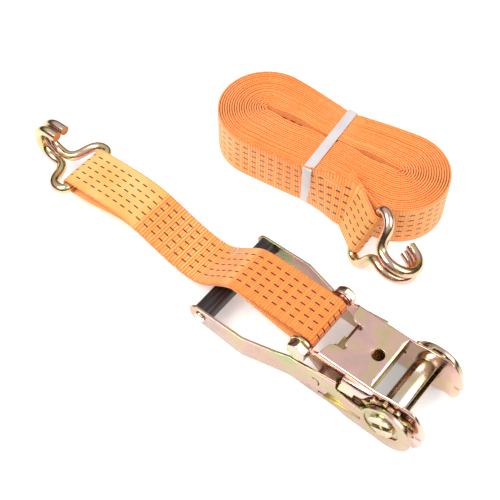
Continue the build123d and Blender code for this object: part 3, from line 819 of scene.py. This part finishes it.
@dataclass
class CoiledStrap:
    """Long strap: spiral coil with a pinched waist, then the sewn tail and loop round the bar."""

    material: bpy.types.Material
    centre: tuple[float, float] = (-171.0, 170.0)
    floor: float = -51.5
    webbing: float = 50.0
    angle: float = 6.0
    length: float = 248.0
    lobe: float = 101.0
    far_pinch: float = 11.0
    near_pinch: float = 3.5
    layers: int = 20
    thick: float = 1.75
    slit: float = 2.6
    eye_gap: float = 0.9
    step: float = 6.0
    tail_step: float = 2.5
    first_turn: float = 0.02
    packed: float = 0.05
    bar: Point = (-86.9, 110.1, -17.5)
    bar_x: Point = (-0.908, 0.409, 0.089)
    bar_z: Point = (0.34, 0.844, -0.414)
    loop_radius: float = 6.5
    merge: float = 30.0
    back: float = 52.0
    bow: float = 0.30
    plain_rib: float = 0.30
    sewn_rib: float = 0.65
    # Painted shade on the strip's corners, darkening the lines between the coil's layers.
    edge_painted_shade: float = 1.3
    band_half: float = 5.5
    band_squeeze: float = 0.962
    band_lift: float = 0.15
    pinched: list[float] = field(default_factory=list)

    @property
    def run(self) -> float:
        """Half the distance between the lobes' centres."""
        return (self.length - self.lobe) / 2

    def half_gap(self, x: float) -> float:
        """Half the width of the slit in the middle of the coil."""
        opening = smoother(abs(x), self.run - 52, self.run - 34)
        closing = smoother(abs(x), self.run - 24, self.run - 8)
        open_gap = self.packed + (self.slit - self.packed) * opening
        return open_gap - (self.slit - self.eye_gap) * closing

    def half_width(self, x: float, near: bool) -> float:
        """Half the coil's outer width at x, on its near or far side."""
        pinch = self.near_pinch if near else self.far_pinch
        return self.lobe / 2 - pinch * (1 - min(abs(x) / self.run, 1.0)) ** 1.25

    def offset(self, turn: float, x: float, near: bool) -> float:
        """Distance of the strip's middle from the coil's middle line."""
        gap = self.half_gap(x)
        room = self.half_width(x, near) - self.thick / 2 - gap - self.thick / 2
        return gap + self.thick / 2 + room * turn / self.layers

    def around(self, turn: float) -> float:
        """Length of one turn, in mm."""
        return 4 * self.run + 2 * math.pi * self.offset(turn, self.run, True)

    def plan(self, turn: float) -> Vector:
        """Place on the spiral, in the coil's own frame.

        Args:
            turn: Turns from the inside.

        Returns:
            The point in mm: near side, right lobe, far side, left lobe, near side.
        """
        run, radius = self.run, self.offset(turn, self.run, True)
        half_turn = math.pi * radius
        s = (turn % 1.0) * self.around(turn)
        if s < run:
            return Vector((s, -self.offset(turn, s, True), 0))
        if s < run + half_turn:
            a = -math.pi / 2 + (s - run) / radius
            return Vector((run + radius * math.cos(a), radius * math.sin(a), 0))
        if s < 3 * run + half_turn:
            x = 2 * run + half_turn - s
            return Vector((x, self.offset(turn, x, False), 0))
        if s < 3 * run + 2 * half_turn:
            a = math.pi / 2 + (s - 3 * run - half_turn) / radius
            return Vector((-run + radius * math.cos(a), radius * math.sin(a), 0))
        x = s - self.around(turn)
        return Vector((x, -self.offset(turn, x, True), 0))

    def to_world(self, point: Vector) -> Vector:
        """From the coil's own frame in mm to metres."""
        a = math.radians(self.angle)
        x = point.x * math.cos(a) - point.y * math.sin(a) + self.centre[0]
        y = point.x * math.sin(a) + point.y * math.cos(a) + self.centre[1]
        return Vector((x, y, point.z + self.floor + self.webbing / 2)) * MM

    def unevenness(self, flat: Vector, turn: float) -> float:
        """How far a layer stands up or down at this place, in mm."""
        layer = noise.noise(Vector((turn * 0.93, 3.1, 0.4)))
        ripple = noise.noise(Vector((flat.x * 0.012, flat.y * 0.03, turn * 1.7)))
        return 0.9 * layer + 0.7 * ripple

    def spiral(self) -> list[Vector]:
        """Middle line of the wound strip, inside to outside, in metres."""
        points, turn = [], self.first_turn
        self.pinched = []
        while turn < self.layers:
            flat = self.plan(turn)
            lift = self.unevenness(flat, turn)
            clear = smoother(abs(flat.x), self.band_half, self.band_half + 14)
            flat.z = self.band_lift + (lift - self.band_lift) * clear
            loosened = smoother(abs(flat.x), self.band_half, self.band_half + 5)
            self.pinched.append(self.band_squeeze + (1 - self.band_squeeze) * loosened)
            points.append(self.to_world(flat))
            turn += self.step / self.around(turn)
        return points

    def bar_axes(self) -> tuple[Vector, Vector, Vector]:
        """Directions at the hook's bar: away from the hook, along the bar, and out of the loop."""
        x_dir = Vector(self.bar_x).normalized()
        z_dir = Vector(self.bar_z)
        z_dir = (z_dir - x_dir * z_dir.dot(x_dir)).normalized()
        return x_dir, z_dir.cross(x_dir), z_dir

    def at_bar(self, x: float, z: float) -> Vector:
        """Point in metres from mm away from the bar and out of the loop."""
        x_dir, _, z_dir = self.bar_axes()
        return (Vector(self.bar) + x_dir * x + z_dir * z) * MM

    def tail(self, start: Vector, heading: Vector) -> tuple[list[Vector], float]:
        """Free end of the strip: off the coil, round the hook's bar and back along itself.

        Args:
            start: Where it leaves the coil, in metres.
            heading: Its direction there.

        Returns:
            Points along its middle line, and the distance from the coil to the sewn stretch.
        """
        half = self.thick / 2 + 0.15
        belly, mouth = half + 2.2, self.merge * 0.55
        arrive = [self.at_bar(self.merge, -half), self.at_bar(mouth, -belly)]
        angles = [math.radians(-90 - 180 * i / 12) for i in range(13)]
        radius = self.loop_radius
        hoop = [self.at_bar(radius * math.cos(a), radius * math.sin(a)) for a in angles]
        depart = [
            self.at_bar(mouth, belly), self.at_bar(self.merge, half), self.at_bar(self.back, half)
        ]
        x_dir, _, _ = self.bar_axes()
        lead = (arrive[0] - start).length
        bow = lead * self.bow
        bridge = [
            start.lerp(arrive[0], t)
            + heading * (bow * t * (1 - t) ** 2)
            + x_dir * (bow * t * t * (1 - t))
            for t in (0.2, 0.4, 0.6, 0.8)
        ]
        points = [start, *bridge, *arrive, *hoop, *depart]
        return smooth_line(points, self.tail_step * MM), lead

    def build(self) -> bpy.types.Object:
        """Returns:
            The piece.
        """
        wound = self.spiral()
        end = len(wound)
        tail, lead = self.tail(wound[-1], (wound[-1] - wound[-3]).normalized())
        points = wound[:-1] + tail
        upright = Vector((0, 0, 1))
        _, along_bar, _ = self.bar_axes()
        stations = []
        for i, point in enumerate(points):
            ahead, behind = points[min(i + 1, len(points) - 1)], points[max(i - 1, 0)]
            tangent = (ahead - behind).normalized()
            turned = smoother(i, end - 2, end + lead / (self.tail_step * MM) - 4)
            across = upright.lerp(along_bar, turned).normalized()
            across = (across - tangent * across.dot(tangent)).normalized()
            sewn = smoother(i, end - 16, end - 10) * (1 - smoother(i, end + 18, end + 26))
            rib = self.plain_rib + self.sewn_rib * sewn
            squeeze = self.pinched[i] if i < len(self.pinched) else 1.0
            stations.append(Station(point, across, tangent.cross(across), rib, squeeze))
        strip = Strip(thick=self.thick, across_cuts=3, edge_painted_shade=self.edge_painted_shade)
        mesh, length = strip.build("long_strap_shape", stations)
        piece = show(mesh, "long_strap_webbing", self.material, Body.COIL)
        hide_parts("long_strap")
        log.info("long strap %.3f m of webbing", length)
        return piece


@dataclass
class LooseThread:
    """A sewing thread's loose end, as a fine tube through given points."""

    name: str
    points: tuple[Point, ...]
    material: bpy.types.Material
    radius: float = 0.45

    def build(self) -> bpy.types.Object:
        """Build the thread.

        Returns:
            The piece.
        """
        curve = bpy.data.curves.new(self.name, "CURVE")
        curve.dimensions = "3D"
        curve.bevel_depth = self.radius * MM
        curve.bevel_resolution = 3
        curve.use_fill_caps = True
        spline = curve.splines.new("NURBS")
        spline.points.add(len(self.points) - 1)
        for target, point in zip(spline.points, self.points):
            target.co = (*[c * MM for c in point], 1.0)
        spline.order_u = 3
        spline.use_endpoint_u = True
        holder = bpy.data.objects.new(f"{self.name}_line", curve)
        mesh = bpy.data.meshes.new_from_object(holder)
        bpy.data.objects.remove(holder)
        bm = bmesh.new()
        bm.from_mesh(mesh)
        bmesh.ops.remove_doubles(bm, verts=bm.verts, dist=1e-6)
        bmesh.ops.recalc_face_normals(bm, faces=bm.faces)
        bpy.data.meshes.remove(mesh)
        mesh = closed_mesh(bm, f"{self.name}_shape")
        return show(mesh, self.name, self.material, Body.FRAME)


# ------------------------------------------------------------------ stage
@dataclass
class Studio:
    """Pale floor, soft lights and the camera."""

    eye: Point = (170.65, -380.7, 727.3)
    target: Point = (-149.0, 15.75, 0.0)
    lens: float = 72.0
    floor: float = -51.6
    floor_half: float = 3.0
    floor_glow: float = 0.32
    room_strength: float = 0.80
    low_shade: Colour = (0.05, 0.035, 0.028)
    wall_shade: Colour = (0.11, 0.085, 0.07)
    overhead: Colour = (1.0, 1.0, 1.0)

    def build(self) -> None:
        """Build the stage."""
        self.lay_floor()
        self.set_world()
        self.hang_light("key_light", (-500, -450, 900), 700, 10.0)
        self.hang_light("fill_light", (650, 300, 800), 900, 6.5)
        self.set_camera()
        bpy.context.scene.view_settings.view_transform = "Standard"

    def lay_floor(self) -> None:
        """Wide pale floor."""
        shop = Shop("floor_paper")
        grain = shop.cloud(40.0, 2.0, 0.5)
        material = shop.finish(
            Base_Color=(0.90, 0.90, 0.90),
            Roughness=grain.ramp(0.3, 0.7, 0.85, 0.95),
            Emission_Color=(1.0, 1.0, 1.0),
            Emission_Strength=self.floor_glow,
        )
        bm = bmesh.new()
        bmesh.ops.create_grid(bm, x_segments=8, y_segments=8, size=self.floor_half)
        for vert in bm.verts:
            vert.co.z = self.floor * MM
        mesh = closed_mesh(bm, "floor_shape")
        mesh.materials.append(material)
        floor = bpy.data.objects.new("floor", mesh)
        bpy.context.scene.collection.objects.link(floor)

    def set_world(self) -> None:
        """Soft surroundings: bright above, dim at the horizon, pale behind the object."""
        world = bpy.data.worlds.new("soft_box")
        bpy.context.scene.world = world
        world.use_nodes = True
        tree = world.node_tree
        tree.nodes.clear()
        nodes, link = tree.nodes, tree.links.new
        coords = nodes.new("ShaderNodeTexCoord")
        apart = nodes.new("ShaderNodeSeparateXYZ")
        ramp = nodes.new("ShaderNodeValToRGB")
        room = nodes.new("ShaderNodeBackground")
        pale = nodes.new("ShaderNodeBackground")
        path = nodes.new("ShaderNodeLightPath")
        either = nodes.new("ShaderNodeMixShader")
        out = nodes.new("ShaderNodeOutputWorld")
        link(coords.outputs["Generated"], apart.inputs[0])
        link(apart.outputs["Z"], ramp.inputs[0])
        link(ramp.outputs[0], room.inputs[0])
        link(path.outputs["Is Camera Ray"], either.inputs[0])
        link(room.outputs[0], either.inputs[1])
        link(pale.outputs[0], either.inputs[2])
        link(either.outputs[0], out.inputs[0])
        room.inputs["Strength"].default_value = self.room_strength
        pale.inputs["Color"].default_value = (*self.overhead, 1.0)
        elements = ramp.color_ramp.elements
        elements[0].position, elements[0].color = 0.0, (*self.low_shade, 1.0)
        elements[1].position, elements[1].color = 0.62, (*self.overhead, 1.0)
        elements.new(0.30).color = (*self.wall_shade, 1.0)

    def hang_light(self, name: str, place: Point, size: float, power: float) -> None:
        """Add a square soft light that faces the object.

        Args:
            name: Its name.
            place: Its position in mm.
            size: Side in mm.
            power: In watts.
        """
        lamp = bpy.data.lights.new(name, "AREA")
        lamp.shape, lamp.size, lamp.energy = "SQUARE", size * MM, power
        holder = bpy.data.objects.new(name, lamp)
        holder.location = Vector(place) * MM
        aim = Vector(self.target) * MM - holder.location
        holder.rotation_euler = aim.to_track_quat("-Z", "Y").to_euler()
        bpy.context.scene.collection.objects.link(holder)

    def set_camera(self) -> None:
        """Camera at the usual three-quarter view from above."""
        lens = bpy.data.cameras.new("view_camera")
        lens.lens, lens.sensor_width = self.lens, 36.0
        lens.clip_start, lens.clip_end = 0.01, 50.0
        camera = bpy.data.objects.new("view_camera", lens)
        camera.location = Vector(self.eye) * MM
        aim = (Vector(self.target) - Vector(self.eye)) * MM
        camera.rotation_euler = aim.to_track_quat("-Z", "Y").to_euler()
        bpy.context.scene.collection.objects.link(camera)
        bpy.context.scene.camera = camera


# ------------------------------------------------------------------ assembly
SEAM_THREADS: dict[str, tuple[Point, ...]] = {
    "seam_thread_long": (
        (-168.4, 12.0, -22.5), (-167.2, 14.4, -21.2), (-165.5, 16.7, -20.0),
        (-166.6, 20.0, -20.7), (-168.4, 23.0, -22.0), (-168.9, 25.6, -21.6),
    ),
    "seam_thread_short": ((-165.6, 16.9, -19.7), (-162.2, 16.2, -16.8), (-158.6, 15.6, -13.6)),
    "seam_tuft": ((-188.8, 20.6, -29.9), (-190.0, 23.2, -29.3), (-191.2, 25.9, -29.0)),
}

BODIES: dict[str, list[str]] = frame["record"]["behaviour"]["bodies"]
SOFT_NODES = {"anchor_strap", "long_strap"}
ROUND_NODES = {"anchor_hook", "long_hook", "drive_pawl_spring", "lock_pawl_spring", "grip"}


@dataclass
class TieDown:
    """The whole tie down."""

    finishes: dict[str, bpy.types.Material] = field(default_factory=dict)

    def mix_finishes(self) -> None:
        """Make every finish once."""
        recipes: dict[str, Any] = {
            "frame_zinc": Passivate(
                "frame_zinc", patch=22.0, shift=0.035, gloss=0.17,
                green=(0.50, 0.55, 0.30),
                gold=(0.74, 0.56, 0.34),
                rose=(0.84, 0.53, 0.46),
                mauve=(0.76, 0.49, 0.47),
            ),
            "handle_zinc": Passivate(
                "handle_zinc", patch=26.0, gloss=0.2,
                green=(0.34, 0.42, 0.22),
                gold=(0.50, 0.41, 0.24),
                rose=(0.55, 0.36, 0.30),
                mauve=(0.46, 0.32, 0.30),
            ),
            "wheel_zinc": Passivate(
                "wheel_zinc", patch=60.0, gloss=0.26,
                green=(0.34, 0.34, 0.14),
                gold=(0.50, 0.40, 0.16),
                rose=(0.46, 0.32, 0.18),
            ),
            "pawl_zinc": Passivate(
                "pawl_zinc", patch=50.0,
                green=(0.28, 0.26, 0.10),
                gold=(0.40, 0.33, 0.10),
                rose=(0.34, 0.25, 0.12),
                mauve=(0.28, 0.20, 0.12),
            ),
            "hook_zinc": Passivate(
                "hook_zinc", patch=40.0, gloss=0.15,
                green=(0.56, 0.54, 0.32),
                gold=(0.66, 0.52, 0.28),
                rose=(0.66, 0.42, 0.34),
                mauve=(0.58, 0.44, 0.42),
            ),
            "spindle_steel": TurnedSteel("spindle_steel"),
            "bolt_zinc": Passivate(
                "bolt_zinc", patch=60.0, gloss=0.18,
                green=(0.50, 0.52, 0.30),
                gold=(0.62, 0.54, 0.32),
                rose=(0.68, 0.50, 0.44),
                mauve=(0.62, 0.48, 0.44),
            ),
            "pin_zinc": TurnedSteel("pin_zinc", colour=(0.80, 0.70, 0.34), gloss=0.25),
            "spring_steel": TurnedSteel("spring_steel", colour=(0.50, 0.48, 0.44)),
            "rivet_steel": TurnedSteel("rivet_steel", colour=(0.82, 0.80, 0.76), gloss=0.16),
            "grip_plastic": MouldedGrip(),
            "band_plastic": FlatBand(),
            "webbing_orange": Webbing(),
            "thread_pale": Thread(),
        }
        self.finishes = {name: recipe.material() for name, recipe in recipes.items()}

    def plate_parts(self) -> None:
        """Dress the CAD parts."""
        owners = {node: Body(body) for body, nodes in BODIES.items() for node in nodes}
        slots = {entry["node"]: entry["material_slot"] for entry in frame["record"]["subparts"]}
        for node, body in owners.items():
            if node in SOFT_NODES:
                continue
            part = PlatedPart(node, body, slots[node], self.finishes[slots[node]])
            if node in ROUND_NODES:
                part.edge = 0.0
            part.build()

    def build(self) -> None:
        """Build every piece."""
        self.mix_finishes()
        self.plate_parts()
        AnchorStrap(self.finishes["webbing_orange"]).build()
        CoiledStrap(self.finishes["webbing_orange"]).build()
        self.sew_threads()

    def sew_threads(self) -> None:
        """Loose ends of the seam's thread near the front end of the anchor strap's seam."""
        thread = self.finishes["thread_pale"]
        for name, points in SEAM_THREADS.items():
            LooseThread(name, points, thread).build()


def main() -> None:
    """Build the object and its stage."""
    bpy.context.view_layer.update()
    TieDown().build()
    Studio().build()


if __name__ == "__main__":
    main()
